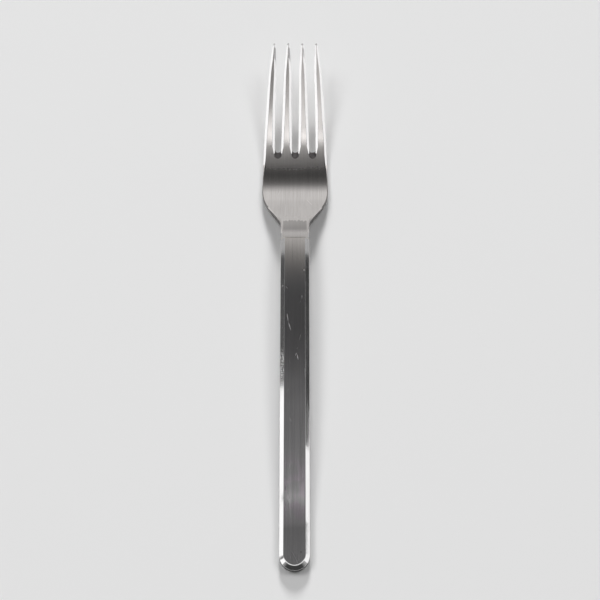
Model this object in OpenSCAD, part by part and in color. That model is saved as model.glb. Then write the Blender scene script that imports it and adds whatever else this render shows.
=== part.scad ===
// Dinner fork with four tines and a hollow, bevelled handle.
// It lies on its back along Y with the tines towards +Y, and Z = 0 is the table.

/* [Handle] */
// Length of the handle, from the butt to the soldered joint
handle_length = 120; // [110:1:140]
// Width of the handle across its side walls
handle_width = 10.4; // [9:0.1:13]
// Thickness of the handle from its top to its underside
handle_thickness = 4.6; // [4:0.1:6]
// Width of the polished bevel round the top, seen from above
bevel_width = 1.5; // [0.8:0.1:2]
// Depth of the polished bevel below the top
bevel_depth = 1.3; // [0.8:0.1:1.6]
// Width of the narrow bevel round the underside
back_bevel_width = 0.7; // [0.3:0.1:1.2]
// Depth of the narrow bevel round the underside
back_bevel_depth = 0.7; // [0.3:0.1:1.2]
// Depth of the seam between the two shells below the top
seam_depth = 2.3; // [2:0.1:2.8]
// Wall of both shells
shell_wall = 0.8; // [0.6:0.1:1.2]

/* [Tang and joint] */
// Thickness of the solder between the handle and the neck
solder_thickness = 0.25; // [0.2:0.05:0.5]
// Length of the tang inside the handle
tang_length = 42; // [25:1:60]
// Width of the tang
tang_width = 5; // [3:0.1:6]
// Thickness of the tang
tang_thickness = 1.8; // [1.2:0.1:2]

/* [Head] */
// Length of the neck between the joint and the shoulders
neck_length = 5; // [3:0.5:8]
// Length of the shoulders along the fork
shoulder_length = 18; // [15:0.5:20]
// Length of the bowl between the shoulders and the roots of the slots
bowl_length = 13.6; // [11:0.1:19]
// Width of the head where it is widest
head_width = 24.9; // [22:0.1:28]
// Amount that each side draws in between the widest place and the roots
side_taper = 0.4; // [0:0.1:1]
// Radius of the inner curve where the neck meets the shoulder
crotch_radius = 4; // [2:0.1:6]
// Radius of the outer curve of the shoulder
shoulder_radius = 17; // [10:0.5:18]
// Length over which the bevels of the neck run out in the shoulders
runout_length = 2.5; // [1.5:0.1:4]
// Height that the bevels gain over that length
runout_rise = 2.1; // [1.8:0.1:2.6]
// Thickness of the bowl
bowl_thickness = 2.2; // [1.6:0.1:3]

/* [Tines] */
// Number of tines
tine_count = 4; // [3:1:4]
// Length of the tines from the roots of the slots
tine_length = 43.4; // [36:0.1:50]
// Width of a tine at its root
tine_width = 4.2; // [3.4:0.1:4.6]
// Width of a tine where its point starts
tine_waist = 2.9; // [2:0.1:3.4]
// Width of the blunt tip of a tine
tip_width = 0.9; // [0.6:0.1:1.4]
// Length of the point of a tine
point_length = 14; // [8:0.5:20]
// Distance between the middles of the two outer tips
tip_span = 16.2; // [14:0.1:20]
// Thickness of a tine at its tip
tip_thickness = 1.2; // [0.9:0.1:1.6]

/* [Side view] */
// Length of the flat underside that rests on the table at the butt
rest_length = 14; // [10:0.5:20]
// Length of the bend that lifts the handle off the table
bend_length = 10; // [6:0.5:14]
// Height gained in that bend
bend_rise = 0.75; // [0.4:0.05:1.2]
// Distance from that bend to the crest of the handle
arch_length = 74; // [64:1:84]
// Height gained between the bend and the crest
arch_rise = 4.95; // [3:0.05:7]
// Drop from the crest to the start of the shoulders
neck_drop = 1.9; // [1:0.1:3]
// Height of the top face at the heel of the bowl
heel_height = 2.85; // [2.6:0.05:3.4]
// Distance along the fork from the heel to the bowl floor
heel_length = 6.5; // [5:0.1:8]
// Distance from the bowl floor to the roots of the slots
floor_setback = 9.6; // [8:0.1:11]
// Height that the top face gains at the end of the bowl floor
toe_rise = 1.15; // [0.9:0.05:1.4]
// Distance from the bowl floor to that end
toe_length = 10.6; // [9:0.1:12]
// Height that the top face gains where the tines run straight
sweep_rise = 2.8; // [2.4:0.1:3.2]
// Distance from the bowl floor to where the tines run straight
sweep_length = 16.6; // [15:0.1:19]
// Height of the top face at the tips
tip_height = 16.3; // [12:0.1:20]

/* [Hidden] */

// Slopes of the top face in degrees at the places where it is set
bend_slope = 7.5;
neck_slope = -9;
heel_slope = -12;
toe_slope = 12.5;
sweep_slope = 18.5;
tip_slope = 17;
// Angle of the flare of the shoulders away from the length of the fork
flare_angle = 33;
// Powers with which the tines draw together and their points narrow towards the tips
closing_power = 1.4;
point_power = 1.5;
// Length of one flat strip of a curved face, and how far a cut runs past
strip_length = 2;
overrun = 1;
// Steps of one rounded corner of the outline, and of the round butt
corner_steps = 12;
butt_steps = 32;
$fn = 64;

// Places along the fork
overall_length = handle_length + neck_length + shoulder_length + bowl_length + tine_length;
butt_y = -overall_length / 2;
butt_radius = handle_width / 2;
butt_centre_y = butt_y + butt_radius;
rest_y = butt_y + rest_length;
bend_y = rest_y + bend_length;
crest_y = bend_y + arch_length;
joint_y = butt_y + handle_length;
neck_face_y = joint_y + solder_thickness;
shoulder_y = joint_y + neck_length;
bowl_y = shoulder_y + shoulder_length;
root_y = bowl_y + bowl_length;
floor_y = root_y - floor_setback;
heel_y = floor_y - heel_length;
toe_y = floor_y + toe_length;
sweep_y = floor_y + sweep_length;
tip_y = root_y + tine_length;

// The top face as places, heights and slopes
crest_height = handle_thickness + bend_rise + arch_rise;
top_line = [
    [butt_y, handle_thickness, 0],
    [rest_y, handle_thickness, 0],
    [bend_y, handle_thickness + bend_rise, bend_slope],
    [crest_y, crest_height, 0],
    [shoulder_y, crest_height - neck_drop, neck_slope],
    [heel_y, heel_height, heel_slope],
    [floor_y, bowl_thickness, 0],
    [toe_y, bowl_thickness + toe_rise, toe_slope],
    [sweep_y, bowl_thickness + sweep_rise, sweep_slope],
    [tip_y, tip_height, tip_slope]
];
// The thickness as places and sizes, level at each place
thickness_line = [
    [butt_y, handle_thickness, 0],
    [neck_face_y, handle_thickness, 0],
    [heel_y, bowl_thickness, 0],
    [toe_y, bowl_thickness, 0],
    [tip_y, tip_thickness, 0]
];
// Places that every curved face keeps as the edge of a strip
knots = [rest_y, bend_y, crest_y, joint_y, neck_face_y, shoulder_y, heel_y,
    floor_y, toe_y, sweep_y, tip_y];
full_height = max(crest_height, tip_height) + overrun;
// Height of the seam between the shells above the underside
seam_height = handle_thickness - seam_depth;

// Angles of the bevels away from level
bevel_angle = atan(bevel_depth / bevel_width);
back_bevel_angle = atan(back_bevel_depth / back_bevel_width);

// Roots of the slots and places of the tines
root_span = head_width - 2 * side_taper;
root_pitch = (root_span - tine_width) / (tine_count - 1);
tip_pitch = tip_span / (tine_count - 1);
slot_radius = (root_pitch - tine_width) / 2;
slot_centre_y = root_y + slot_radius;

function cubic(t, a, a_slope, b, b_slope) =
    (2 * t ^ 3 - 3 * t ^ 2 + 1) * a + (t ^ 3 - 2 * t ^ 2 + t) * a_slope
    + (3 * t ^ 2 - 2 * t ^ 3) * b + (t ^ 3 - t ^ 2) * b_slope;

function between(y, a, b) =
    let (span = b.x - a.x)
    cubic((y - a.x) / span, a.y, tan(a.z) * span, b.y, tan(b.z) * span);

function along(line, y, i = 0) =
    i == len(line) - 2 || y <= line[i + 1].x
        ? between(y, line[i], line[i + 1])
        : along(line, y, i + 1);

function top_z(y) = along(top_line, y);

function back_z(y) = top_z(y) - along(thickness_line, y);

function strips(a, b) = max(1, ceil((b - a) / strip_length));

grid = concat(
    [butt_y, butt_centre_y],
    [for (i = [0 : len(knots) - 2])
        let (a = knots[i], b = knots[i + 1], n = strips(a, b))
        for (k = [0 : n - 1]) a + (b - a) * k / n],
    [tip_y]
);

function grid_within(a, b) = [for (y = grid) if (y >= a && y <= b) y];

function backwards(list) = [for (i = [len(list) - 1 : -1 : 0]) list[i]];

// Stands a side view up: its x runs along Y, its y along Z, and it is as wide as asked
module side_view(width) {
    rotate([90, 0, 90]) linear_extrude(height = width, center = true) children();
}

// The side view between two places
module band(from_y, to_y) {
    places = grid_within(from_y, to_y);
    polygon(concat(
        [for (y = places) [y, top_z(y)]],
        [for (y = backwards(places)) [y, back_z(y)]]
    ));
}

// Half the section of the handle from the middle of its top round to its underside: distances
// from the middle and heights above the underside
function half_section(inset) = [
    [butt_radius - bevel_width - inset * tan(bevel_angle / 2), handle_thickness - inset],
    [butt_radius - inset, handle_thickness - bevel_depth - inset * tan(45 - bevel_angle / 2)],
    [butt_radius - inset, back_bevel_depth + inset * tan(45 - back_bevel_angle / 2)],
    [butt_radius - back_bevel_width - inset * tan(back_bevel_angle / 2), inset]
];

// One line round the handle, from the mouth on the +X side round the butt to the other side
function round_line(point, places) = concat(
    [for (y = backwards(places)) [point.x, y, back_z(y) + point.y]],
    [for (i = [1 : butt_steps - 1])
        let (a = 180 * i / butt_steps)
        [point.x * cos(a), butt_centre_y - point.x * sin(a), point.y]],
    [for (y = places) [-point.x, y, back_z(y) + point.y]]
);

// Sweeps half a section round the handle up to a place. The section starts with the edge of a
// face that looks up and ends with the edge of one that looks down.
module swept(section, to_y) {
    places = grid_within(butt_centre_y, to_y);
    count = 2 * len(places) + butt_steps - 1;
    last = (len(section) - 1) * count;
    half = floor(count / 2);
    points = [for (p = section) each round_line(p, places)];
    upper = [for (i = [0 : half - 1]) [i, i + 1, count - 2 - i, count - 1 - i]];
    lower = [for (f = upper) [for (i = backwards(f)) i + last]];
    sides = [for (k = [0 : count : last - count]) for (i = [k : k + count - 2])
        [i, i + count, i + count + 1, i + 1]];
    mouth = concat([for (k = [last : -count : 0]) k], [for (k = [0 : count : last]) k + count - 1]);
    polyhedron(points, concat(upper, lower, sides, [mouth]));
}

module tang() {
    places = grid_within(joint_y - tang_length, shoulder_y);
    side_view(tang_width)
        polygon(concat(
            [for (y = places) [y, (top_z(y) + back_z(y) + tang_thickness) / 2]],
            [for (y = backwards(places)) [y, (top_z(y) + back_z(y) - tang_thickness) / 2]]
        ));
}

function arc(centre, radius, from_angle, to_angle) = [
    for (i = [0 : corner_steps])
        let (a = from_angle + (to_angle - from_angle) * i / corner_steps)
        centre + radius * [cos(a), sin(a)]
];

// The +X side of the neck, shoulder and bowl, from the joint to the roots
function bowl_side() =
    let (
        outer = [head_width / 2 - shoulder_radius, bowl_y],
        crotch_x = butt_radius + crotch_radius,
        both_radii = crotch_radius + shoulder_radius,
        flare_width = outer.x - crotch_x + both_radii * cos(flare_angle),
        drop = both_radii * sin(flare_angle) + flare_width / tan(flare_angle)
    )
    concat(
        [[butt_radius, neck_face_y]],
        arc([crotch_x, bowl_y - drop], crotch_radius, 180, 180 - flare_angle),
        arc(outer, shoulder_radius, -flare_angle, 0),
        [[root_span / 2, slot_centre_y]]
    );

// Width of a tine at a share of its length
function tine_half_width(share) =
    let (
        point_share = 1 - point_length / tine_length,
        waist = (tine_waist - tip_width) / 2,
        s = (share - point_share) / (1 - point_share)
    )
    share < point_share
        ? (tine_width + (tine_waist - tine_width) * share / point_share) / 2
        : tip_width / 2 + waist * (1 - s ^ point_power);

// Middle of a tine at a share of its length, for a tine that lies so many pitches off centre
function tine_x(pitches, share) =
    pitches * (root_pitch + (tip_pitch - root_pitch) * share ^ closing_power);

module tine_plan(pitches) {
    start = slot_centre_y;
    end = tip_y - tip_width / 2;
    steps = ceil((end - start) / strip_length);
    places = [for (i = [0 : steps]) i / steps];
    polygon(concat(
        [[tine_x(pitches, 0) - tine_width / 2, start - overrun]],
        [for (s = places) [tine_x(pitches, s) - tine_half_width(s), start + (end - start) * s]],
        [for (s = backwards(places)) [tine_x(pitches, s) + tine_half_width(s), start + (end - start) * s]],
        [[tine_x(pitches, 0) + tine_width / 2, start - overrun]]
    ));
    translate([tine_x(pitches, 1), end]) circle(d = tip_width);
}

// The head seen from above
module head_plan() {
    side = bowl_side();
    difference() {
        union() {
            polygon(concat(side, [for (p = backwards(side)) [-p.x, p.y]]));
            for (i = [0 : tine_count - 1]) tine_plan(i - (tine_count - 1) / 2);
        }
        for (i = [1 : tine_count - 1])
            translate([(i - tine_count / 2) * root_pitch, slot_centre_y]) circle(r = slot_radius);
    }
}

// Cuts one bevel of the neck on the +X side and lets it run out in the shoulder
module neck_bevel_cut() {
    places = grid_within(joint_y, shoulder_y);
    ridge = (butt_radius - bevel_width) * sin(bevel_angle);
    top = full_height + handle_width;
    rotate([0, bevel_angle, 0]) side_view(4 * handle_width)
        polygon(concat(
            [for (y = places) [y, ridge + top_z(y) * cos(bevel_angle)]],
            [[shoulder_y + runout_length, ridge + runout_rise + top_z(shoulder_y) * cos(bevel_angle)]],
            [[shoulder_y + runout_length, top], [joint_y, top]]
        ));
}

module fork_head() color([0.72, 0.71, 0.70]) {
    difference() {
        intersection() {
            side_view(head_width + 2 * overrun) band(neck_face_y, tip_y);
            linear_extrude(height = full_height) head_plan();
        }
        neck_bevel_cut();
        mirror([1, 0, 0]) neck_bevel_cut();
    }
    tang();
}

module handle_front_shell() color([0.55, 0.54, 0.55]) {
    outer = half_section(0);
    inner = half_section(shell_wall);
    seam = [[outer[1].x, seam_height], [inner[1].x, seam_height]];
    swept(concat([outer[0], outer[1]], seam, [inner[1], inner[0]]), joint_y);
}

module handle_back_shell() color([0.45, 0.45, 0.46]) {
    outer = half_section(0);
    inner = half_section(shell_wall);
    seam = [[inner[2].x, seam_height], [outer[2].x, seam_height]];
    swept(concat([inner[3], inner[2]], seam, [outer[2], outer[3]]), joint_y);
}

module neck_solder() color([0.8, 0.78, 0.72]) {
    right = half_section(0);
    difference() {
        translate([0, neck_face_y, back_z(joint_y)]) rotate([90, 0, 0])
            linear_extrude(height = solder_thickness)
                polygon(concat(right, [for (p = backwards(right)) [-p.x, p.y]]));
        tang();
    }
}

module handle_filler() color([0.35, 0.3, 0.27]) {
    difference() {
        swept(half_section(shell_wall), joint_y);
        tang();
    }
}

fork_head();
handle_front_shell();
handle_back_shell();
neck_solder();
handle_filler();
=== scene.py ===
import math

import bmesh
import bpy
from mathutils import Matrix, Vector


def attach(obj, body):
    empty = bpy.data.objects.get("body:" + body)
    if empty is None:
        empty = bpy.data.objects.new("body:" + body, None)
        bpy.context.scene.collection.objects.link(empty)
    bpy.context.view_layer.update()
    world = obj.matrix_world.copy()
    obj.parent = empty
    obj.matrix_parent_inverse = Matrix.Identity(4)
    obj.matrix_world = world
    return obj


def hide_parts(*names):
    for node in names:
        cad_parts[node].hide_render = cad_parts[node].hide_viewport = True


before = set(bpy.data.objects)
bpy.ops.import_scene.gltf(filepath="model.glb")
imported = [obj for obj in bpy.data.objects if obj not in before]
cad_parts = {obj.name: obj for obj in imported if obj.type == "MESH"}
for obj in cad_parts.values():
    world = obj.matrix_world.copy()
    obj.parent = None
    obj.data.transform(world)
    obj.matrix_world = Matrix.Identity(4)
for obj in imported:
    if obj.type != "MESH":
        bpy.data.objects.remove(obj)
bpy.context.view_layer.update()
print("frame loaded:", ", ".join(sorted(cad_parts)))

# Shared by all pieces: how near to one another places count as the same, how level the flats are, and
# what the last step of each piece needs
shared = {
    "tiny": 0.001,
    "small": 0.01,
    "onOutline": 0.02,
    "rowSlack": 0.002,
    "cutThreshold": 0.00001,
    "mergeDistance": 0.0005,
    "flatNormal": 0.98,
    "mapTile": 10,
    "toMetres": 0.001,
    "sharpAngle": 34,
}

# Side view: places along the fork, heights or thicknesses, and slopes in degrees
sideView = {
    "topFace": [(-100, 4.6, 0), (-86, 4.6, 0), (-76, 5.35, 7.5), (-2, 10.3, 0), (25, 8.4, -9),
                (40.5, 2.85, -12), (47, 2.2, 0), (57.6, 3.35, 12.5), (63.6, 5.0, 18.5), (100, 16.3, 17)],
    "thickness": [(-100, 4.6, 0), (20.25, 4.6, 0), (40.5, 2.2, 0), (57.6, 2.2, 0), (100, 1.2, 0)],
}


# Height at one place of a smooth line that has the given slopes at its points
def alongLine(line, y):
    i = 0
    while i < len(line) - 2 and y > line[i + 1][0]:
        i += 1
    (ya, a, slopeA), (yb, b, slopeB) = line[i], line[i + 1]
    span = yb - ya
    t = (y - ya) / span
    rampA, rampB = math.tan(math.radians(slopeA)) * span, math.tan(math.radians(slopeB)) * span
    return ((2 * t**3 - 3 * t**2 + 1) * a + (t**3 - 2 * t**2 + t) * rampA
            + (3 * t**2 - 2 * t**3) * b + (t**3 - t**2) * rampB)


def backHeight(y):
    return alongLine(sideView["topFace"], y) - alongLine(sideView["thickness"], y)


# Picking and shaping in edit mode

def pick(piece, kind, test):
    bpy.ops.mesh.select_mode(type=kind)
    bpy.ops.mesh.select_all(action="DESELECT")
    mesh = bmesh.from_edit_mesh(piece.data)
    parts = {"VERT": mesh.verts, "EDGE": mesh.edges, "FACE": mesh.faces}[kind]
    found = [part for part in parts if test(part)]
    for part in found:
        part.select_set(True)
    mesh.select_flush_mode()
    bmesh.update_edit_mesh(piece.data)
    return len(found)


def middle(part):
    return sum((vert.co for vert in part.verts), Vector()) / len(part.verts)


def cutAcross(y, **settings):
    bpy.ops.mesh.select_all(action="SELECT")
    bpy.ops.mesh.bisect(plane_co=(0, y, 0), plane_no=(0, 1, 0), **settings)


def cutRows(places):
    for y in places:
        cutAcross(y, threshold=shared["cutThreshold"])


def atHeight(edge, height):
    return all(abs(vert.co.z - height) < shared["tiny"] for vert in edge.verts)


# The vertices of each row by their numbers, so that none is in two rows
def rowsOf(piece):
    mesh = bmesh.from_edit_mesh(piece.data)
    mesh.verts.index_update()
    rows = {}
    for vert in mesh.verts:
        rows.setdefault(round(vert.co.y, 3), set()).add(vert.index)
    return sorted(rows.items())


def pickRow(piece, row, test=None):
    return pick(piece, "VERT", lambda vert: vert.index in row and (test is None or test(vert)))


def applyModifier(piece, kind, **settings):
    bpy.ops.object.modifier_add(type=kind)
    modifier = piece.modifiers[-1]
    for name, value in settings.items():
        setattr(modifier, name, value)
    bpy.ops.object.modifier_apply(modifier=modifier.name)


def startMesh(name):
    piece = bpy.context.object
    piece.name = piece.data.name = name
    bpy.ops.object.transform_apply(location=True, rotation=True, scale=True)
    return piece


# Brings a shaped piece to metres, smooths it and hands it to the frame
def finishPiece(piece, node):
    bpy.ops.mesh.select_mode(type="VERT")
    bpy.ops.mesh.select_all(action="SELECT")
    bpy.ops.mesh.remove_doubles(threshold=shared["mergeDistance"])
    bpy.ops.mesh.normals_make_consistent(inside=False)
    bpy.ops.uv.cube_project(cube_size=shared["mapTile"])
    bpy.ops.transform.resize(value=[shared["toMetres"]] * 3, center_override=(0, 0, 0))
    bpy.ops.object.mode_set(mode="OBJECT")
    bpy.ops.object.shade_smooth_by_angle(angle=math.radians(shared["sharpAngle"]))
    applyModifier(piece, "WEIGHTED_NORMAL", keep_sharp=True)
    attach(piece, "root")
    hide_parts(node)
    print(piece.name, "finished with", len(piece.data.polygons), "faces")


# Steel finishes. The flats are brushed along the fork and the bevels are polished. The side walls and the
# edge of the head are ground, and their dark colour is partly painted shade. The dark steel at the roots
# of the slots is painted shade. Colours are linear, roughness goes from the smooth to the dull streaks,
# and relief is the strength of the grain or of the waves.
steel = {
    # root: dark steel that is painted shade, for the deep shadow under the bowl seen through the slots
    "root": {"color": (0.13, 0.122, 0.122), "roughness": (0.35, 0.5), "anisotropic": 0,
             "smudge": 0.1, "grain": 0.15, "hairline": 0.05, "relief": 0.12},
    "headSatin": {"color": (0.655, 0.628, 0.612), "roughness": (0.15, 0.18), "anisotropic": 0.72,
                  "smudge": 0.025, "grain": 0.05, "hairline": 0.05, "relief": 0.02},
    "handleSatin": {"color": (0.645, 0.632, 0.64), "roughness": (0.17, 0.22), "anisotropic": 0.7,
                    "smudge": 0.04, "grain": 0.07, "hairline": 0.09, "relief": 0.06},
    "polish": {"color": (0.69, 0.683, 0.683), "roughness": (0.05, 0.09), "anisotropic": 0,
               "smudge": 0.02, "grain": 0.03, "hairline": 0.04, "relief": 0.12},
    # edge and side: ground steel, made darker as painted shade for the shadowed floor these walls reflect;
    # the side's low grazing tint darkens it further
    "edge": {"color": (0.2, 0.19, 0.185), "roughness": (0.3, 0.42), "anisotropic": 0,
             "smudge": 0.1, "grain": 0.15, "hairline": 0.05, "relief": 0.12},
    "side": {"color": (0.27, 0.262, 0.262), "roughness": (0.22, 0.32), "anisotropic": 0, "grazing": 0.3,
             "smudge": 0.05, "grain": 0.1, "hairline": 0.06, "relief": 0.12},
}
# Textures that the finishes share
texture = {
    # streaks: how many to a metre across and along the fork, and detail
    "dullStreaks": (900, 22, 4),
    "grainStreaks": (2600, 40, 4),
    "reliefStreaks": (4200, 70, 2),
    "hairStreaks": (5200, 55, 2),
    "raggedStreaks": (1500, 200, 4),
    # the flats are brushed along their length, so their grain hardly changes with height
    "grainHeight": 0.12,
    # most of a noise lies between these values
    "noiseRange": (0.3, 0.7),
    # hairlines: turn in degrees and how many patches to a metre, then from where lines and patches show
    "hairlines": [(14, 90), (-27, 70), (2, 110)],
    "hairShown": (0.66, 0.74),
    "hairPatches": (0.5, 0.62),
    "smudges": {"scale": 120, "rough": 0.6, "headDetail": 1, "detail": 5,
                "range": (0.35, 0.75), "dull": (-0.01, 0.03)},
    "grainDepth": 0.00001,
    "waves": {"scale": 800, "detail": 3, "depth": 0.00002},
}
# Scratches and pits: place, turn in degrees, length, width and strength, negative for a dark pit
wear = {
    "handleSatin": [(-2.54, -12.1, 10.2, 8, 4.2, 0.34, 0.8), (-1.82, -15.5, 10.1, 16, 4, 0.34, 0.9),
                    (0.45, -25.9, 9.8, -24, 1.7, 0.4, 0.6), (1.02, -26.9, 9.7, 10, 2.8, 0.4, 0.8),
                    (3.3, 6.4, 10.1, 30, 0.9, 0.6, 0.7), (2.57, -4.2, 10.3, 0, 1.6, 0.4, 0.5),
                    (-2.9, -0.5, 10.3, 40, 1.6, 0.3, 0.45), (1.9, -19.5, 10, -12, 3.4, 0.25, 0.35),
                    (2.18, -94.1, 4.6, 0, 0.9, 0.6, -1), (-3.1, -72.7, 5.8, 4, 2.6, 0.4, -0.8),
                    (2.9, -70, 6, 0, 2, 0.35, -0.6), (-0.6, -98.2, 4.6, 60, 1.4, 0.35, -0.7)],
    "headSatin": [(-9.28, 61.3, 4.3, 20, 1, 0.5, -1), (-8.9, 58.4, 3.6, 0, 0.9, 0.5, -0.7),
                  (5.5, 37, 4, 35, 5, 0.25, 0.5), (-6, 42, 2.8, -20, 4, 0.2, 0.4)],
    "polish": [(-4.4, 0.45, 9.7, 0, 1.2, 0.7, 0.25), (-4.4, -16, 9.4, 0, 1, 0.5, 0.15)],
}
# A mark is full up to its core and counts only near its height. It makes the steel duller and brighter,
# and a pit makes it darker.
mark = {"core": 0.3, "height": 0.006, "dull": 0.4, "bright": 0.45}
# Along the left bevel the edge is worn to specks, which are dull and dark
wornEdge = {"place": (-4.6, -29.5, 9.1), "length": 15, "width": 2.2, "core": 0.4, "scale": 2400,
            "shown": (0.47, 0.56), "dull": 0.3, "dark": 0.35}
# Colour of the handle: warm near the neck, faintly purple and mottled in front of the butt, and lighter
# at the butt end, a painted sheen for its brighter reflection. Places are in metres, here and down to
# the patch on the neck.
handleTint = {"warm": (0.66, 0.625, 0.6), "warmFrom": -0.002, "warmTo": 0.012,
              "butt": (0.7, 0.685, 0.695), "buttSheenFrom": -0.08, "buttSheenTo": -0.073,
              "mottled": (0.72, 0.655, 0.71), "rise": (-0.087, -0.08), "fall": (-0.07, -0.058),
              "clouds": 260, "cloudShown": (0.4, 0.55)}
# Along the fork the head is duller where the tines meet the bowl and where the neck was ground,
# and the tines on the right are less polished than those on the left
rootZone = {"rise": (0.0492, 0.0548), "fall": (0.061, 0.066), "dull": 0.15}
neckZone = {"rise": (0.0222, 0.0235), "fall": (0.028, 0.031), "dull": 0.2}
tineZone = {"rise": (0.064, 0.07), "fall": (0.101, 0.102), "dull": 0.17, "across": (-0.0075, 0.0025)}
# Towards the tines the flat of the head is painted brighter, a painted sheen for their brighter
# reflection, and its edge turns from the dark ground edge, partly painted shade, to bright
paintedTineSheen = {"start": 0.063, "end": 0.073, "bright": 1.36}
edgeTurn = {"start": 0.048, "end": 0.0535, "bright": 3.3, "smooth": 0.3}
# The neck was ground by hand after soldering, which left a duller patch with a ragged front edge.
# Its darkening is painted shade, for the darker reflection of the wavy ground surface.
neckPatch = {"start": 0.0216, "full": 0.0242, "end": (0.0273, 0.0278), "halfWidth": (0.004, 0.0048),
             "ragged": 0.0012, "dark": 0.36}


def startLook(name):
    look = bpy.data.materials.new(name)
    look.use_nodes = True
    return look


def addNode(look, kind, inputs=None, **settings):
    tree = look.node_tree
    node = tree.nodes.new(kind)
    for key, value in settings.items():
        setattr(node, key, value)
    for key, value in (inputs or {}).items():
        if isinstance(value, bpy.types.NodeSocket):
            tree.links.new(value, node.inputs[key])
        else:
            node.inputs[key].default_value = value
    return node.outputs[0]


def feedShader(look, socket, output):
    look.node_tree.links.new(output, look.node_tree.nodes["Principled BSDF"].inputs[socket])


def feedColor(look, color, shade):
    shaded = addNode(look, "ShaderNodeVectorMath", {0: color, 1: shade}, operation="MULTIPLY")
    feedShader(look, "Base Color", shaded)


def feedRelief(look, height, strength, depth):
    bump = addNode(look, "ShaderNodeBump", {"Strength": strength, "Distance": depth, "Height": height})
    feedShader(look, "Normal", bump)


def objectPlace(look):
    return look.node_tree.nodes.new("ShaderNodeTexCoord").outputs["Object"]


def axesOf(look, place):
    return addNode(look, "ShaderNodeSeparateXYZ", {0: place}).node.outputs


def noise(look, place, scale, detail, **more):
    return addNode(look, "ShaderNodeTexNoise", {"Vector": place, "Scale": scale, "Detail": detail, **more})


# Noise drawn out along one direction, turned on the flat of the fork
def streaks(look, place, size, turn=0):
    across, along, detail = size
    lines = addNode(look, "ShaderNodeMapping", {"Vector": place, "Rotation": (0, 0, math.radians(turn))})
    lines = addNode(look, "ShaderNodeMapping", {"Vector": lines, "Scale": (across, along, across)})
    return noise(look, lines, 1, detail)


def spread(look, value, fromLow, fromHigh, toLow, toHigh, smooth=False):
    ends = {"From Min": fromLow, "From Max": fromHigh, "To Min": toLow, "To Max": toHigh}
    return addNode(look, "ShaderNodeMapRange", {"Value": value, **ends},
                   interpolation_type="SMOOTHSTEP" if smooth else "LINEAR")


def spreadNoise(look, value, toLow, toHigh):
    return spread(look, value, *texture["noiseRange"], toLow, toHigh)


def sums(look, operation, first, second):
    return addNode(look, "ShaderNodeMath", {0: first, 1: second}, operation=operation)


# Distance from a place, one at the rim of an ellipse that is turned on the flat of the fork
def ellipse(look, place, centre, turn, length, width):
    fitted = {"Location": Vector(centre) / 1000, "Rotation": (0, 0, math.radians(turn)),
              "Scale": (width / 2000, length / 2000, mark["height"])}
    spot = addNode(look, "ShaderNodeMapping", {"Vector": place, **fitted}, vector_type="TEXTURE")
    return addNode(look, "ShaderNodeVectorMath", {0: spot}, operation="LENGTH").node.outputs["Value"]


def wearMarks(look, place, marks):
    total = 0
    for x, y, z, turn, length, width, strength in marks:
        away = ellipse(look, place, (x, y, z), turn, length, width)
        total = sums(look, "ADD", spread(look, away, mark["core"], 1, strength, 0, True), total)
    return total


def wornSpecks(look, place):
    away = ellipse(look, place, wornEdge["place"], 0, wornEdge["length"], wornEdge["width"])
    specks = spread(look, noise(look, place, wornEdge["scale"], 3), *wornEdge["shown"], 0, 1)
    return sums(look, "MULTIPLY", spread(look, away, wornEdge["core"], 1, 1, 0, True), specks)


def blend(look, share, first, second):
    return addNode(look, "ShaderNodeMix", {0: share, 6: first, 7: second}, data_type="RGBA").node.outputs[2]


def tintHandle(look, place, color):
    along = axesOf(look, place)["Y"]
    warm = spread(look, along, handleTint["warmFrom"], handleTint["warmTo"], 0, 1, True)
    clouds = noise(look, place, handleTint["clouds"], 3)
    patch = sums(look, "MULTIPLY", spread(look, along, *handleTint["rise"], 0, 1, True),
                 spread(look, along, *handleTint["fall"], 1, 0, True))
    patch = sums(look, "MULTIPLY", patch, spread(look, clouds, *handleTint["cloudShown"], 0, 1, True))
    tinted = blend(look, warm, (*color, 1), (*handleTint["warm"], 1))
    # the butt end is lighter: a painted sheen
    butt = spread(look, along, handleTint["buttSheenFrom"], handleTint["buttSheenTo"], 1, 0, True)
    tinted = blend(look, butt, tinted, (*handleTint["butt"], 1))
    return blend(look, patch, tinted, (*handleTint["mottled"], 1))


# A patch of hairlines: thin bright lines in one direction, only where a broad noise lets them through
def hairlines(look, place, turn, where):
    lines = spread(look, streaks(look, place, texture["hairStreaks"], turn), *texture["hairShown"], 0, 1)
    patches = spread(look, noise(look, place, where, 1), *texture["hairPatches"], 0, 1, True)
    return sums(look, "MULTIPLY", lines, patches)


# Darkens the ground patch on the neck: painted shade
def neckShade(look, place):
    axes = axesOf(look, place)
    rag = streaks(look, place, texture["raggedStreaks"])
    rag = spreadNoise(look, rag, -neckPatch["ragged"] / 2, neckPatch["ragged"] / 2)
    front = sums(look, "ADD", axes["Y"], rag)
    front = spread(look, front, *neckPatch["end"], 1, 0, True)
    back = spread(look, axes["Y"], neckPatch["start"], neckPatch["full"], 0, 1, True)
    side = sums(look, "ABSOLUTE", axes["X"], 0)
    side = spread(look, side, *neckPatch["halfWidth"], 1, 0, True)
    patch = sums(look, "MULTIPLY", sums(look, "MULTIPLY", front, back), side)
    return spread(look, patch, 0, 1, 1, 1 - neckPatch["dark"])


# Dullness that rises and falls again along the fork
def zoneDullness(look, along, zone):
    rise = spread(look, along, *zone["rise"], 0, zone["dull"], True)
    return sums(look, "MULTIPLY", rise, spread(look, along, *zone["fall"], 1, 0, True))


def headDullness(look, place):
    axes = axesOf(look, place)
    root = zoneDullness(look, axes["Y"], rootZone)
    neck = zoneDullness(look, axes["Y"], neckZone)
    tines = zoneDullness(look, axes["Y"], tineZone)
    tines = sums(look, "MULTIPLY", tines, spread(look, axes["X"], *tineZone["across"], 0, 1))
    return sums(look, "ADD", sums(look, "ADD", root, neck), tines)


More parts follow.
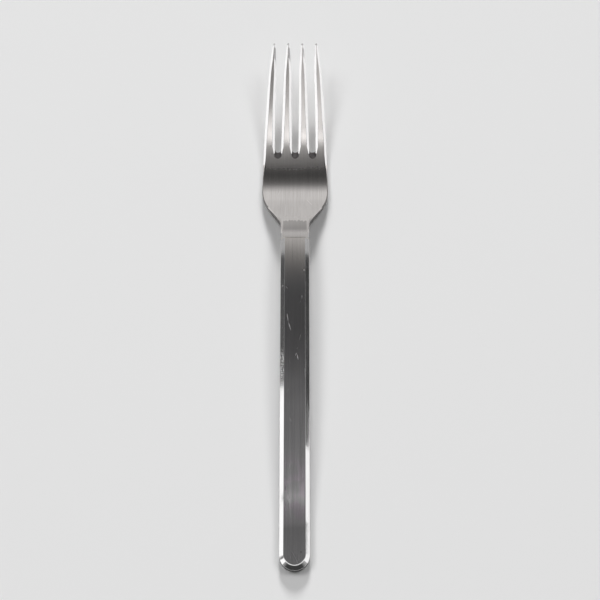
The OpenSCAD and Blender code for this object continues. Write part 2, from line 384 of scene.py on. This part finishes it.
# A factor along the fork: one up to the start of a stretch, and the given value from its end
def turnAlong(look, place, stretch, value):
    return spread(look, axesOf(look, place)["Y"], stretch["start"], stretch["end"], 1, value, True)


def brushedSteel(name, finish, isHead=False, isEdge=False):
    look = startLook(name)
    shader = look.node_tree.nodes["Principled BSDF"]
    shader.inputs["Metallic"].default_value = 1
    shader.inputs["Anisotropic"].default_value = finish["anisotropic"]
    grazing = finish.get("grazing", 1)
    shader.inputs["Specular Tint"].default_value = (grazing, grazing, grazing, 1)
    place = objectPlace(look)
    grainPlace = place
    if finish["anisotropic"]:
        flattened = (1, 1, texture["grainHeight"])
        grainPlace = addNode(look, "ShaderNodeMapping", {"Vector": place, "Scale": flattened})

    # dullness: broad streaks, smudges and hairline scratches
    low, high = finish["roughness"]
    dull = spreadNoise(look, streaks(look, grainPlace, texture["dullStreaks"]), low, high)
    rub = texture["smudges"]
    detail = rub["headDetail"] if isHead else rub["detail"]
    smudges = noise(look, place, rub["scale"], detail, Roughness=rub["rough"])
    dull = sums(look, "ADD", dull, spread(look, smudges, *rub["range"], *rub["dull"]))
    if isHead:
        dull = sums(look, "ADD", dull, headDullness(look, place))
    scratches = 0
    for turn, where in texture["hairlines"]:
        scratches = sums(look, "MAXIMUM", scratches, hairlines(look, grainPlace, turn, where))
    dull = sums(look, "ADD", dull, spread(look, scratches, 0, 1, 0, finish["hairline"]))
    if name in wear:
        marks = wearMarks(look, place, wear[name])
        dull = sums(look, "ADD", dull, spread(look, marks, 0, 1, 0, mark["dull"]))
    if name == "polish":
        specks = wornSpecks(look, place)
        dull = sums(look, "ADD", dull, spread(look, specks, 0, 1, 0, wornEdge["dull"]))
    if isEdge:
        dull = sums(look, "MULTIPLY", dull, turnAlong(look, place, edgeTurn, edgeTurn["smooth"]))
    feedShader(look, "Roughness", dull)

    # colour: a little lighter and darker along the grain and in the smudges
    grain = streaks(look, grainPlace, texture["grainStreaks"])
    shade = spreadNoise(look, grain, 1 - finish["grain"], 1 + finish["grain"])
    rubbed = spreadNoise(look, smudges, 1 + finish["smudge"], 1 - finish["smudge"])
    shade = sums(look, "MULTIPLY", shade, rubbed)
    shade = sums(look, "ADD", shade, spread(look, scratches, 0, 1, 0, finish["hairline"]))
    if name in wear:
        shade = sums(look, "ADD", shade, sums(look, "MULTIPLY", marks, mark["bright"]))
    if name == "polish":
        shade = sums(look, "SUBTRACT", shade, spread(look, specks, 0, 1, 0, wornEdge["dark"]))
    if isHead:
        # painted shade on the neck's ground patch
        shade = sums(look, "MULTIPLY", shade, neckShade(look, place))
        # towards the tines the colour is lifted: a painted sheen
        shade = sums(look, "MULTIPLY", shade, turnAlong(look, place, paintedTineSheen, paintedTineSheen["bright"]))
    if isEdge:
        # the edge's painted shade fades out towards the tines
        shade = sums(look, "MULTIPLY", shade, turnAlong(look, place, edgeTurn, edgeTurn["bright"]))
    color = tintHandle(look, place, finish["color"]) if name == "handleSatin" else finish["color"]
    feedColor(look, color, shade)

    # relief: grain and scratches on the flats, slight waves on the rest
    if finish["anisotropic"]:
        relief = sums(look, "SUBTRACT", streaks(look, grainPlace, texture["reliefStreaks"]), scratches)
        feedRelief(look, relief, finish["relief"], texture["grainDepth"])
        feedShader(look, "Tangent", addNode(look, "ShaderNodeTangent", direction_type="UV_MAP"))
    else:
        waves = texture["waves"]
        height = noise(look, place, waves["scale"], waves["detail"])
        feedRelief(look, height, finish["relief"], waves["depth"])
    return look


headSatin = brushedSteel("headSatin", steel["headSatin"], isHead=True)
handleSatin = brushedSteel("handleSatin", steel["handleSatin"])
polish = brushedSteel("polish", steel["polish"])
groundEdgeAndShade = brushedSteel("groundEdgeAndShade", steel["edge"], isEdge=True)
dullSideAndShade = brushedSteel("dullSideAndShade", steel["side"])
slotRootShade = brushedSteel("slotRootShade", steel["root"])


# The solder line and the resin core are CAD nodes that stay as they are, with their own finishes
solder = {"color": (0.5, 0.47, 0.42), "roughness": (0.3, 0.5), "pits": 1800, "metallic": 1}
filler = {"color": (0.035, 0.026, 0.02), "roughness": (0.5, 0.75), "pits": 700, "metallic": 0}
casting = {"detail": 5, "shade": (0.8, 1.2), "relief": 0.3, "depth": 0.00005}


def castLook(name, node, finish):
    look = startLook(name)
    look.node_tree.nodes["Principled BSDF"].inputs["Metallic"].default_value = finish["metallic"]
    pits = noise(look, objectPlace(look), finish["pits"], casting["detail"])
    feedShader(look, "Roughness", spreadNoise(look, pits, *finish["roughness"]))
    feedColor(look, finish["color"], spreadNoise(look, pits, *casting["shade"]))
    feedRelief(look, pits, casting["relief"], casting["depth"])
    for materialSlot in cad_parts[node].material_slots:
        materialSlot.material = look


castLook("groundSolder", "neck_solder", solder)
castLook("resinCore", "handle_filler", filler)
print("finishes ready")


# The finishes of a piece by their order
finishOrder = {"satin": 0, "polish": 1, "edge": 2, "root": 3}


def redress(piece, finish, test):
    pick(piece, "FACE", test)
    piece.active_material_index = finishOrder[finish]
    bpy.ops.object.material_slot_assign()


# Satin on the flats and polish on all other faces, until some of them are given the edge or the root
def dress(piece, looks):
    for look in looks:
        piece.data.materials.append(look)
    redress(piece, "polish", lambda face: abs(face.normal.z) <= shared["flatNormal"])
    print(piece.name, "has", len(looks), "finishes")


# Handle shells: a round end run out to a strip, raised by an inset bevel, walled and hollowed
handle = {
    "width": 10.4,
    "buttCentre": -94.8,
    "joint": 20,
    "seam": 2.3,
    "wall": 0.8,
    "roundSteps": 96,
    # the strip runs on past the joint until it is cut there
    "overrun": 4,
    "rowsFrom": -86,
    "rowLength": 1,
    "ridgeAngle": 0.2,
    # how much of the rounding of the ridges is left at the neck, and how near to a ridge it is looked for
    "ridgeTaper": 0.12,
    "ridgeNear": 0.3,
    "sideNormal": 0.3,
}
frontShell = {"edgeHeight": 3.3, "bevelWidth": 1.5, "bevelRise": 1.3,
              "ridgeRound": 0.17, "footRound": 0.12, "grooveRound": 0.09}
backShell = {"edgeHeight": 0.7, "bevelWidth": 0.7, "bevelRise": -0.7,
             "ridgeRound": 0.18, "footRound": 0.09, "grooveRound": 0.09}


def onHandleOutline(part):
    place = middle(part)
    away = abs(place.x)
    if place.y <= handle["buttCentre"]:
        away = math.hypot(place.x, place.y - handle["buttCentre"])
    return away > handle["width"] / 2 - shared["onOutline"]


def makeShell(name, shape):
    up = shape["bevelRise"] > 0
    beforeJoint = handle["joint"] - shared["small"]
    bpy.ops.object.select_all(action="DESELECT")
    place = (0, handle["buttCentre"], shape["edgeHeight"])
    bpy.ops.mesh.primitive_circle_add(vertices=handle["roundSteps"], radius=handle["width"] / 2,
                                      fill_type="NGON", location=place)
    shell = startMesh(name)
    bpy.ops.object.mode_set(mode="EDIT")
    cutAcross(handle["buttCentre"], clear_outer=True)
    pick(shell, "EDGE", lambda edge: middle(edge).y > handle["buttCentre"] - shared["tiny"])
    strip = handle["joint"] + handle["overrun"] - handle["buttCentre"]
    bpy.ops.mesh.extrude_edges_move(TRANSFORM_OT_translate={"value": (0, strip, 0)})
    bpy.ops.mesh.select_all(action="SELECT")
    bpy.ops.mesh.normals_make_consistent(inside=False)
    if (bmesh.from_edit_mesh(shell.data).faces[:][0].normal.z > 0) != up:
        bpy.ops.mesh.flip_normals()

    # the bevel, then the side wall down or up to the seam
    bpy.ops.mesh.inset(thickness=shape["bevelWidth"], depth=abs(shape["bevelRise"]))
    bpy.ops.mesh.select_mode(type="EDGE")
    bpy.ops.mesh.select_all(action="DESELECT")
    bpy.ops.mesh.select_non_manifold(extend=False, use_wire=False, use_multi_face=False,
                                     use_non_contiguous=False, use_verts=False)
    wallHeight = handle["seam"] - shape["edgeHeight"]
    bpy.ops.mesh.extrude_edges_move(TRANSFORM_OT_translate={"value": (0, 0, wallHeight)})
    cutAcross(handle["joint"], clear_outer=True, threshold=shared["cutThreshold"])
    bpy.ops.object.mode_set(mode="OBJECT")
    applyModifier(shell, "SOLIDIFY", thickness=handle["wall"], offset=-1, use_even_offset=True)

    # soft ridges on both sides of the bevel, closed again at the mouth, then a hairline groove at the seam
    bpy.ops.object.mode_set(mode="EDIT")
    face = shape["edgeHeight"] + shape["bevelRise"]
    pick(shell, "EDGE", lambda edge: atHeight(edge, face) and edge.calc_face_angle(0) > handle["ridgeAngle"]
         and middle(edge).y < beforeJoint)
    bpy.ops.mesh.bevel(offset=shape["ridgeRound"], segments=4, affect="EDGES")
    for side in (-1, 1):
        ridgeX = side * (handle["width"] / 2 - shape["bevelWidth"])
        pick(shell, "VERT", lambda vert: abs(vert.co.y - handle["joint"]) < shared["small"]
             and abs(vert.co.x - ridgeX) < handle["ridgeNear"]
             and abs(vert.co.z - face) < handle["ridgeNear"])
        bpy.ops.transform.resize(value=(handle["ridgeTaper"], 1, handle["ridgeTaper"]),
                                 center_override=(ridgeX, handle["joint"], face))
    pick(shell, "EDGE", lambda edge: atHeight(edge, shape["edgeHeight"]) and onHandleOutline(edge))
    bpy.ops.mesh.bevel(offset=shape["footRound"], segments=4, affect="EDGES")
    pick(shell, "EDGE", lambda edge: atHeight(edge, handle["seam"]) and onHandleOutline(edge)
         and middle(edge).y < beforeJoint)
    bpy.ops.mesh.bevel(offset=shape["grooveRound"], segments=2, affect="EDGES")

    dress(shell, (handleSatin, polish, dullSideAndShade))
    # the side walls take the dull side steel, darkened as painted shade
    redress(shell, "edge", lambda face: abs(face.normal.z) < handle["sideNormal"] and onHandleOutline(face))

    # rows along the handle, lifted into its arch
    length = handle["joint"] - handle["rowsFrom"]
    rows = math.ceil(length / handle["rowLength"])
    cutRows([handle["rowsFrom"] + length * i / rows for i in range(rows)])
    for y, row in rowsOf(shell):
        if y > handle["rowsFrom"]:
            pickRow(shell, row)
            bpy.ops.transform.translate(value=(0, 0, backHeight(y)))
    return shell


shellFront = makeShell("handleFrontShell", frontShell)
finishPiece(shellFront, "handle_front_shell")
shellBack = makeShell("handleBackShell", backShell)
finishPiece(shellBack, "handle_back_shell")


# Head: a flat blank with three slots, a chamfer round its top edge and rows across it.
# Each row is drawn in to the outline, the neck is bevelled, and the rows are lifted.
head = {
    "neckFace": 20.25,
    "tip": 100,
    "blankWidth": 24.1,
    "blankThickness": 2.6,
    "widest": 24.9,
    "bowl": 43,
    "slotCentre": 57.8167,
    "slotRadius": 1.2167,
    "slotPitch": 6.6333,
    "tipPitch": 5.4,
    "tineWidth": 4.2,
    "tineWaist": 2.9,
    "tipWidth": 0.9,
    "leastHalf": 0.03,
    # the tines taper evenly up to this share of their length, then curve to their points, and they draw
    # together along a curve of their own
    "pointShare": 0.668,
    "pointCurve": 1.5,
    "drawCurve": 1.4,
    # rounding of the thickness at the tips: length, and what is left at the end
    "tipRound": 0.8,
    "tipLeft": 0.4,
    "tipLeast": 0.02,
    "edgeWidth": 0.9,
    "edgeAngle": 0.5,
    "edgeRound": 0.13,
    "roundAngles": (0.4, 1.1),
    "rootEdge": 0.16,
    "rootTo": 61.5,
    # where the chamfer's upper rim round a root is looked for
    "ringAbove": 0.2,
    "ringNear": 0.3,
    "rootRamp": 3.4,
    # the dark finish in the slots, painted shade for the deep shadow on the table under the bowl seen
    # through them: from, how far up the left and the right wall, how far beside the slot, and how steep
    # the ramp and the walls are
    "darkFrom": 56,
    "darkLeft": 60,
    "darkRight": 58.9,
    "darkBeside": 0.2,
    "rampNormal": 0.75,
    "wallNormal": 0.96,
    "tineLean": 0.84,
    # how much of the flat of a tine is taken by its chamfers: from, to and share
    "coreCut": [(58, 74, 0.24), (88, 97, 0.5)],
    "coreSlack": 0.25,
    "backRound": 0.35,
    # place, width and depth of the chamfer along the outside
    "edgeLine": [(23.2, 1.5, 1.3), (24, 1.52, 1.1), (24.8, 1.56, 0.85), (26, 1.68, 0.62), (27, 1.95, 0.46),
                 (28, 2.3, 0.32), (28.8, 2.5, 0.2), (29.6, 1.7, 0.1), (30.5, 0.6, 0.08), (31.5, 0.35, 0.16),
                 (33, 0.35, 0.22), (49, 0.3, 0.25), (52, 0.4, 0.34), (55, 0.72, 0.6), (57.8167, 0.9, 0.76)],
    "backLine": [(22, 0.7, 0.7), (28, 0.35, 0.3), (57.8167, 0.35, 0.3)],
    # the chamfer is satin like the flat between these places
    "satinFrom": 22.8,
    "satinTo": 50,
    # the ground edge, whose dark colour is partly painted shade: how wide it is, from where wider, how
    # steep its faces are, and how far it runs
    "groundWidths": (0.02, 0.3),
    "widerFrom": 31,
    "groundNormal": 0.85,
    "groundTo": 57.5,
    # rows: first, step and number on the shoulders and along the tines, and the places at the tips
    "shoulderRows": (21, 0.75, 24),
    "tineRows": (39, 1, 60),
    "tipRows": [99.2, 99.4, 99.55, 99.7, 99.82, 99.92],
    "crotchRadius": 4,
    "shoulderRadius": 17,
    "flareAngle": 33,
}
# The cutter of a slot is taller than the blank and runs out past the tips
slotCutter = {"steps": 64, "height": 9, "middle": 1.3, "length": 60}


# Half the width of the neck, the shoulders and the bowl
def outlineHalf(y):
    flare = math.radians(head["flareAngle"])
    neck = handle["width"] / 2
    outerX = head["widest"] / 2 - head["shoulderRadius"]
    crotchX = neck + head["crotchRadius"]
    radii = head["crotchRadius"] + head["shoulderRadius"]
    gap = outerX - crotchX + radii * math.cos(flare)
    crotchY = head["bowl"] - radii * math.sin(flare) - gap / math.tan(flare)
    crotchEnd = crotchY + head["crotchRadius"] * math.sin(flare)
    shoulderStart = head["bowl"] - head["shoulderRadius"] * math.sin(flare)
    if y <= crotchY:
        return neck
    if y <= crotchEnd:
        return crotchX - math.sqrt(head["crotchRadius"] ** 2 - (y - crotchY) ** 2)
    if y <= shoulderStart:
        return crotchX - head["crotchRadius"] * math.cos(flare) + (y - crotchEnd) * math.tan(flare)
    if y <= head["bowl"]:
        return outerX + math.sqrt(head["shoulderRadius"] ** 2 - (y - head["bowl"]) ** 2)
    taper = (y - head["bowl"]) / (head["slotCentre"] - head["bowl"])
    return (head["widest"] + (head["blankWidth"] - head["widest"]) * taper) / 2


def tineHalf(y):
    roundStart = head["tip"] - head["tipWidth"] / 2
    if y > roundStart:
        left = math.sqrt(max(0, (head["tipWidth"] / 2) ** 2 - (y - roundStart) ** 2))
        return max(head["leastHalf"], left)
    share = (y - head["slotCentre"]) / (roundStart - head["slotCentre"])
    if share < head["pointShare"]:
        return (head["tineWidth"] + (head["tineWaist"] - head["tineWidth"]) * share / head["pointShare"]) / 2
    toPoint = (share - head["pointShare"]) / (1 - head["pointShare"])
    narrowing = 1 - toPoint ** head["pointCurve"]
    return head["tipWidth"] / 2 + (head["tineWaist"] - head["tipWidth"]) / 2 * narrowing


def tineMiddle(pitches, y):
    share = min(1, (y - head["slotCentre"]) / (head["tip"] - head["tipWidth"] / 2 - head["slotCentre"]))
    return pitches * (head["slotPitch"] + (head["tipPitch"] - head["slotPitch"]) * share ** head["drawCurve"])


def smooth(y, start, end):
    t = min(1, max(0, (y - start) / (end - start)))
    return t * t * (3 - 2 * t)


# Share of the flat of a tine that is left between its chamfers
def coreShare(y):
    return 1 - sum(share * smooth(y, start, end) for start, end, share in head["coreCut"])


# Three round-ended slots, made once and repeated
def makeSlotCutter():
    bpy.ops.object.select_all(action="DESELECT")
    place = (-head["slotPitch"], head["slotCentre"], slotCutter["middle"])
    bpy.ops.mesh.primitive_cylinder_add(vertices=slotCutter["steps"], radius=head["slotRadius"],
                                        depth=slotCutter["height"], location=place)
    cutter = startMesh("slotCutter")
    bpy.ops.object.mode_set(mode="EDIT")
    cutAcross(head["slotCentre"], clear_outer=True, use_fill=True, threshold=shared["cutThreshold"])
    pick(cutter, "FACE", lambda face: face.normal.y > shared["flatNormal"])
    bpy.ops.mesh.extrude_region_move(TRANSFORM_OT_translate={"value": (0, slotCutter["length"], 0)})

    # the round end leans, so that the slot runs out in a ramp below the top face, which carries the
    # painted shade of the slot's root
    perHeight = head["rootRamp"] / head["blankThickness"]
    roundEnd = head["slotCentre"] + shared["small"]
    for end in (-1, 1):
        height = slotCutter["middle"] + end * slotCutter["height"] / 2
        pick(cutter, "VERT", lambda vert: abs(vert.co.z - height) < shared["small"] and vert.co.y < roundEnd)
        bpy.ops.transform.translate(value=(0, (head["blankThickness"] - height) * perHeight, 0))
    bpy.ops.object.mode_set(mode="OBJECT")
    applyModifier(cutter, "ARRAY", count=3, use_relative_offset=False, use_constant_offset=True,
                  constant_offset_displace=(head["slotPitch"], 0, 0))
    return cutter


# Width and depth at one place of a line of (place, width, depth)
def chamferAt(line, y):
    if y <= line[0][0]:
        return line[0][1:]
    for (ya, widthA, depthA), (yb, widthB, depthB) in zip(line, line[1:]):
        if y <= yb:
            t = (y - ya) / (yb - ya)
            return widthA + (widthB - widthA) * t, depthA + (depthB - depthA) * t
    return line[-1][1:]


# Gives the outside chamfer of one row its own width and depth, on both sides
def sizeChamfer(piece, y, row, made, line, edgeZ, inward):
    half = outlineHalf(y)
    stretch = half / (head["blankWidth"] / 2)
    width, depth = chamferAt(line, y)
    perHeight = head["blankThickness"] / alongLine(sideView["thickness"], y)
    for side in (-1, 1):
        found = pickRow(piece, row, lambda vert: side * vert.co.x > half - made * stretch - shared["rowSlack"]
                        and inward * (vert.co.z - edgeZ) < made + shared["rowSlack"])
        if found:
            bpy.ops.transform.resize(value=(width / (made * stretch), 1, depth * perHeight / made),
                                     center_override=(side * half, y, edgeZ))


# On the ramp of a slot, or on the first stretch of its walls, which is longer on the left: the faces
# that take the painted shade
def onSlotRootShade(place, normal):
    slotX = min((-head["slotPitch"], 0, head["slotPitch"]), key=lambda x: abs(x - place.x))
    beside = head["slotRadius"] + head["rootEdge"] + head["darkBeside"]
    if abs(place.x - slotX) > beside or abs(normal.z) > head["wallNormal"]:
        return False
    end = head["darkLeft"] if normal.x > 0 else head["darkRight"]
    if abs(normal.x) < head["rampNormal"]:
        end = head["slotCentre"] + head["rootRamp"]
    return head["darkFrom"] < place.y < end


# On the narrow ground edge along the outside, from the shoulders to the tines, whose dark steel is
# partly painted shade
def onGroundEdge(place, normal):
    narrow, wide = head["groundWidths"]
    width = wide if place.y > head["widerFrom"] else narrow
    return (place.y < head["groundTo"] and abs(place.x) > outlineHalf(place.y) - width
            and normal.z < head["groundNormal"])


def cutAway(piece, cutter):
    bpy.ops.object.select_all(action="DESELECT")
    piece.select_set(True)
    bpy.context.view_layer.objects.active = piece
    applyModifier(piece, "BOOLEAN", operation="DIFFERENCE", object=cutter, solver="EXACT")
    bpy.data.objects.remove(cutter)


def makeHead():
    top = head["blankThickness"]
    slots = makeSlotCutter()
    bpy.ops.object.select_all(action="DESELECT")
    bpy.ops.mesh.primitive_cube_add(size=1, location=(0, (head["neckFace"] + head["tip"]) / 2, top / 2))
    bpy.context.object.scale = (head["blankWidth"], head["tip"] - head["neckFace"], top)
    fork = startMesh("forkHead")
    cutAway(fork, slots)

    # the polished chamfer round the top edge with softened corners, and the small round underneath
    bpy.ops.object.mode_set(mode="EDIT")
    foot = top - head["edgeWidth"]
    pastNeckFace = head["neckFace"] + shared["small"]
    for height, width, segments in ((top, head["edgeWidth"], 1), (0, head["backRound"], 3)):
        pick(fork, "EDGE", lambda edge: atHeight(edge, height) and middle(edge).y > pastNeckFace
             and edge.calc_face_angle(0) > head["edgeAngle"])
        bpy.ops.mesh.bevel(offset=width, segments=segments, affect="EDGES")
    low, high = head["roundAngles"]
    pick(fork, "EDGE", lambda edge: low < edge.calc_face_angle(0) < high and middle(edge).y > pastNeckFace
         and (atHeight(edge, top) or atHeight(edge, foot)))
    bpy.ops.mesh.bevel(offset=head["edgeRound"], segments=3, affect="EDGES")

    # the chamfer is narrow round the roots of the slots and widens from there along the tines
    cutRows([head["rootTo"]])
    ring = head["slotRadius"] + head["edgeWidth"]
    narrow = (head["slotRadius"] + head["rootEdge"]) / ring
    roundEnd = head["slotCentre"] + shared["small"]
    for slotX in (-head["slotPitch"], 0, head["slotPitch"]):
        pick(fork, "VERT", lambda vert: vert.co.z > foot + head["ringAbove"] and vert.co.y < roundEnd
             and abs(math.hypot(vert.co.x - slotX, vert.co.y - head["slotCentre"]) - ring) < head["ringNear"])
        bpy.ops.transform.resize(value=(narrow, narrow, 1), center_override=(slotX, head["slotCentre"], top))

    dress(fork, (headSatin, polish, groundEdgeAndShade, slotRootShade))

    # rows, closer together on the shoulders and at the tips
    for first, step, number in (head["shoulderRows"], head["tineRows"]):
        cutRows([first + step * i for i in range(number)])
    cutRows(head["tipRows"])
    fullHalf = head["tineWidth"] / 2
    core = fullHalf - head["edgeWidth"]
    for y, row in rowsOf(fork):
        if y <= head["slotCentre"]:
            pickRow(fork, row)
            narrowing = outlineHalf(y) / (head["blankWidth"] / 2)
            bpy.ops.transform.resize(value=(narrowing, 1, 1), center_override=(0, 0, 0))
            sizeChamfer(fork, y, row, head["edgeWidth"], head["edgeLine"], top, -1)
            sizeChamfer(fork, y, row, head["backRound"], head["backLine"], 0, 1)
            continue
        # the chamfers keep their slope while the tine and its flat grow narrower
        chamferFrom = foot - shared["rowSlack"]
        pickRow(fork, row, lambda vert: vert.co.z > chamferFrom)
        narrowing = tineHalf(y) / fullHalf
        steep = head["tineLean"] * narrowing * top / alongLine(sideView["thickness"], y)
        steep *= (fullHalf - core * coreShare(y)) / head["edgeWidth"]
        bpy.ops.transform.resize(value=(1, 1, steep), center_override=(0, y, top))
        for pitches in (-1.5, -0.5, 0.5, 1.5):
            tineX = pitches * head["slotPitch"]
            pickRow(fork, row, lambda vert: vert.co.z > chamferFrom
                    and abs(vert.co.x - tineX) < core + head["coreSlack"])
            bpy.ops.transform.resize(value=(coreShare(y), 1, 1), center_override=(tineX, y, 0))
            if pickRow(fork, row, lambda vert: abs(vert.co.x - tineX) < head["slotPitch"] / 2):
                bpy.ops.transform.resize(value=(narrowing, 1, 1), center_override=(tineX, y, 0))
                bpy.ops.transform.translate(value=(tineMiddle(pitches, y) - tineX, 0, 0))

    # the thickness at each place, then the bend
    for y, row in rowsOf(fork):
        thickness = alongLine(sideView["thickness"], y)
        pickRow(fork, row)
        bpy.ops.transform.resize(value=(1, 1, thickness / top), center_override=(0, y, 0))
        if y > head["tip"] - head["tipRound"]:
            intoTip = (y - head["tip"] + head["tipRound"]) / head["tipRound"]
            rounding = math.sqrt(max(head["tipLeast"], 1 - intoTip**2))
            closing = rounding * (1 - head["tipLeft"]) + head["tipLeft"]
            bpy.ops.transform.resize(value=(1, 1, closing), center_override=(0, y, thickness / 2))
        bpy.ops.transform.translate(value=(0, 0, backHeight(y)))
    redress(fork, "satin", lambda face: head["satinFrom"] < middle(face).y < head["satinTo"])
    # the ramps and first walls of the slots take the dark steel that is painted shade
    redress(fork, "root", lambda face: onSlotRootShade(middle(face), face.normal))
    # the ground edge takes its dark steel, partly painted shade
    redress(fork, "edge", lambda face: onGroundEdge(middle(face), face.normal))
    return fork


forkHead = makeHead()
finishPiece(forkHead, "fork_head")


# Camera: as far off and as steep as the photograph's, a little to the right of the fork
camera = {"lens": 72, "sensor": 36, "nearest": 0.01, "distance": 440, "steepness": 67.05,
          "aim": (1.85, -1.05, 0)}


def placeCamera():
    aim = Vector(camera["aim"]) / 1000
    steep = math.radians(camera["steepness"])
    away = Vector((0, -math.cos(steep), math.sin(steep)))
    bpy.ops.object.camera_add(location=aim + away * camera["distance"] / 1000,
                              rotation=(-away).to_track_quat("-Z", "Y").to_euler())
    view = bpy.context.object
    view.name = "photoCamera"
    view.data.lens = camera["lens"]
    view.data.sensor_width = camera["sensor"]
    view.data.clip_start = camera["nearest"]
    bpy.context.scene.camera = view
    print("camera placed")


placeCamera()


# Studio: a world that darkens overhead and at the horizon, soft boxes and dark flags for the metal to
# reflect, and a low soft light from the tines' side with a lamp on each side for the floor
studio = {
    "floor": {"size": 20, "color": (0.86, 0.86, 0.86), "roughness": 0.9},
    "backdrop": 0.79,
    # levels of the world are kept as shares of this strength
    "strength": 2,
    # degrees from straight up towards the butt, and how bright the ceiling is there
    "ceiling": [(-90, 0.5), (-80, 0.7), (-66, 0.74), (-61, 0.8), (-45, 0.79), (-38, 0.47), (-33, 0.2),
                (-28, 0.1), (-23, 0.062), (-16.5, 0.064), (-13.5, 0.106), (-11.5, 0.168), (-9, 0.178),
                (-6, 0.175), (-3, 0.19), (1.2, 0.185), (2.9, 0.22), (4.2, 0.75), (5.3, 1.6), (14, 1.6),
                (24, 1.2), (50, 1.1), (60, 0.3), (66, 0.06), (90, 0.06)],
    # the sides' brightness, and how far to the side it begins to show and is full
    "sides": 0.5,
    "sidesFrom": 0.6,
    "sidesFull": 0.9,
    # light for the floor, brightest from overhead, and the little that the metal carries from the panels
    "overhead": 0.22,
    "panelFloor": 0.1,
    # name, place across, ends along the fork and lowest and highest in metres, and brightness
    "panels": [("leftBox", -1.5, (-0.98, 0.36), (0, 0.31), 1.45),
               ("leftHighBox", -1.5, (-0.98, 1.5), (0.31, 0.75), 1.45),
               ("leftSlit", -1.49, (-0.34, 0.06), (0.232, 0.5), 0.3),
               ("leftFlag", -1.5, (0.36, 0.88), (0, 0.31), 0.1),
               ("rightBox", 1.5, (-0.75, 0.29), (0, 0.31), 1.3),
               ("rightHighBox", 1.5, (-0.75, 1.5), (0.31, 0.7), 1.3),
               ("rightFlag", 1.5, (0.29, 0.88), (0, 0.31), 0.065),
               ("rightFlagStep", 1.49, (0.19, 0.29), (0.222, 0.31), 0.065)],
    # name, place, width and power of the lamps, and the angles of the low light in degrees
    "lamps": [("leftLamp", (-1.15, 0.6, 2.1), 1.0, 19.6), ("rightLamp", (1.15, 0.6, 2.1), 1.0, 13.7)],
    "backLight": {"steepness": 27, "softness": 12, "strength": 2.2},
}


# One for light on its way to the floor, also by way of the metal
def forFloor(look, rays):
    return sums(look, "MINIMUM", rays["Diffuse Depth"], 1)


def makeWorld():
    world = bpy.data.worlds.new("studioWorld")
    bpy.context.scene.world = world
    world.use_nodes = True
    place = addNode(world, "ShaderNodeTexCoord").node.outputs["Generated"]
    axes = axesOf(world, place)
    strength = studio["strength"]
    toButt = sums(world, "MULTIPLY", axes["Y"], -1)
    angle = sums(world, "ARCTAN2", toButt, axes["Z"])
    share = spread(world, angle, -math.pi / 2, math.pi / 2, 0, 1)
    ceiling = addNode(world, "ShaderNodeFloatCurve", {"Value": share})
    curve = ceiling.node.mapping.curves[0]
    points = [((degrees + 90) / 180, level / strength) for degrees, level in studio["ceiling"]]
    curve.points[0].location, curve.points[1].location = points[0], points[-1]
    for point in points[1:-1]:
        curve.points.new(*point)
    for point in curve.points:
        point.handle_type = "VECTOR"
    ceiling.node.mapping.update()
    sideways = sums(world, "ABSOLUTE", axes["X"], 0)
    overhead = spread(world, sideways, studio["sidesFull"], studio["sidesFrom"], 0, 1, True)
    sides = studio["sides"] / strength
    seen = addNode(world, "ShaderNodeMix", {"Factor": overhead, "A": sides, "B": ceiling})
    rays = addNode(world, "ShaderNodeLightPath").node.outputs
    high = sums(world, "MAXIMUM", axes["Z"], 0)
    fall = sums(world, "MULTIPLY", sums(world, "MULTIPLY", high, high), studio["overhead"] / strength)
    seen = addNode(world, "ShaderNodeMix", {"Factor": forFloor(world, rays), "A": seen, "B": fall})
    backdrop = studio["backdrop"] / strength
    light = addNode(world, "ShaderNodeMix", {"Factor": rays["Is Camera Ray"], "A": seen, "B": backdrop})
    background = world.node_tree.nodes["Background"]
    world.node_tree.links.new(light, background.inputs["Color"])
    background.inputs["Strength"].default_value = strength
    print("world lit")


def makePanel(name, x, along, heights, level):
    bpy.ops.object.select_all(action="DESELECT")
    bpy.ops.mesh.primitive_plane_add(size=1, rotation=(0, math.radians(90), 0),
                                     location=(x, sum(along) / 2, sum(heights) / 2))
    panel = bpy.context.object
    panel.name = name
    panel.scale = (heights[1] - heights[0], along[1] - along[0], 1)
    look = startLook(name)
    look.node_tree.nodes.remove(look.node_tree.nodes["Principled BSDF"])
    rays = addNode(look, "ShaderNodeLightPath").node.outputs
    strength = spread(look, forFloor(look, rays), 0, 1, level, studio["panelFloor"])
    glow = addNode(look, "ShaderNodeEmission", {"Strength": strength})
    look.node_tree.links.new(glow, look.node_tree.nodes["Material Output"].inputs["Surface"])
    panel.data.materials.append(look)
    panel.visible_camera = panel.visible_diffuse = panel.visible_shadow = False


def makeLamp(name, place, size, power):
    towards = Vector(place).to_track_quat("Z", "Y").to_euler()
    bpy.ops.object.light_add(type="AREA", location=place, rotation=towards)
    lamp = bpy.context.object
    lamp.name = name
    lamp.data.size = size
    lamp.data.energy = power
    lamp.visible_glossy = False


def makeBackLight():
    back = studio["backLight"]
    bpy.ops.object.light_add(type="SUN", rotation=(math.radians(back["steepness"] - 90), 0, 0))
    light = bpy.context.object
    light.name = "backLight"
    light.data.energy = back["strength"]
    light.data.angle = math.radians(back["softness"])
    light.visible_glossy = False


def makeFloor():
    bpy.ops.object.select_all(action="DESELECT")
    bpy.ops.mesh.primitive_plane_add(size=studio["floor"]["size"])
    floor = bpy.context.object
    floor.name = "paleFloor"
    look = startLook("paleFloor")
    shader = look.node_tree.nodes["Principled BSDF"]
    shader.inputs["Base Color"].default_value = (*studio["floor"]["color"], 1)
    shader.inputs["Roughness"].default_value = studio["floor"]["roughness"]
    floor.data.materials.append(look)


makeFloor()
makeWorld()
for panel in studio["panels"]:
    makePanel(*panel)
for lamp in studio["lamps"]:
    makeLamp(*lamp)
makeBackLight()
print("studio ready")
bpy.context.scene.view_settings.view_transform = "Standard"
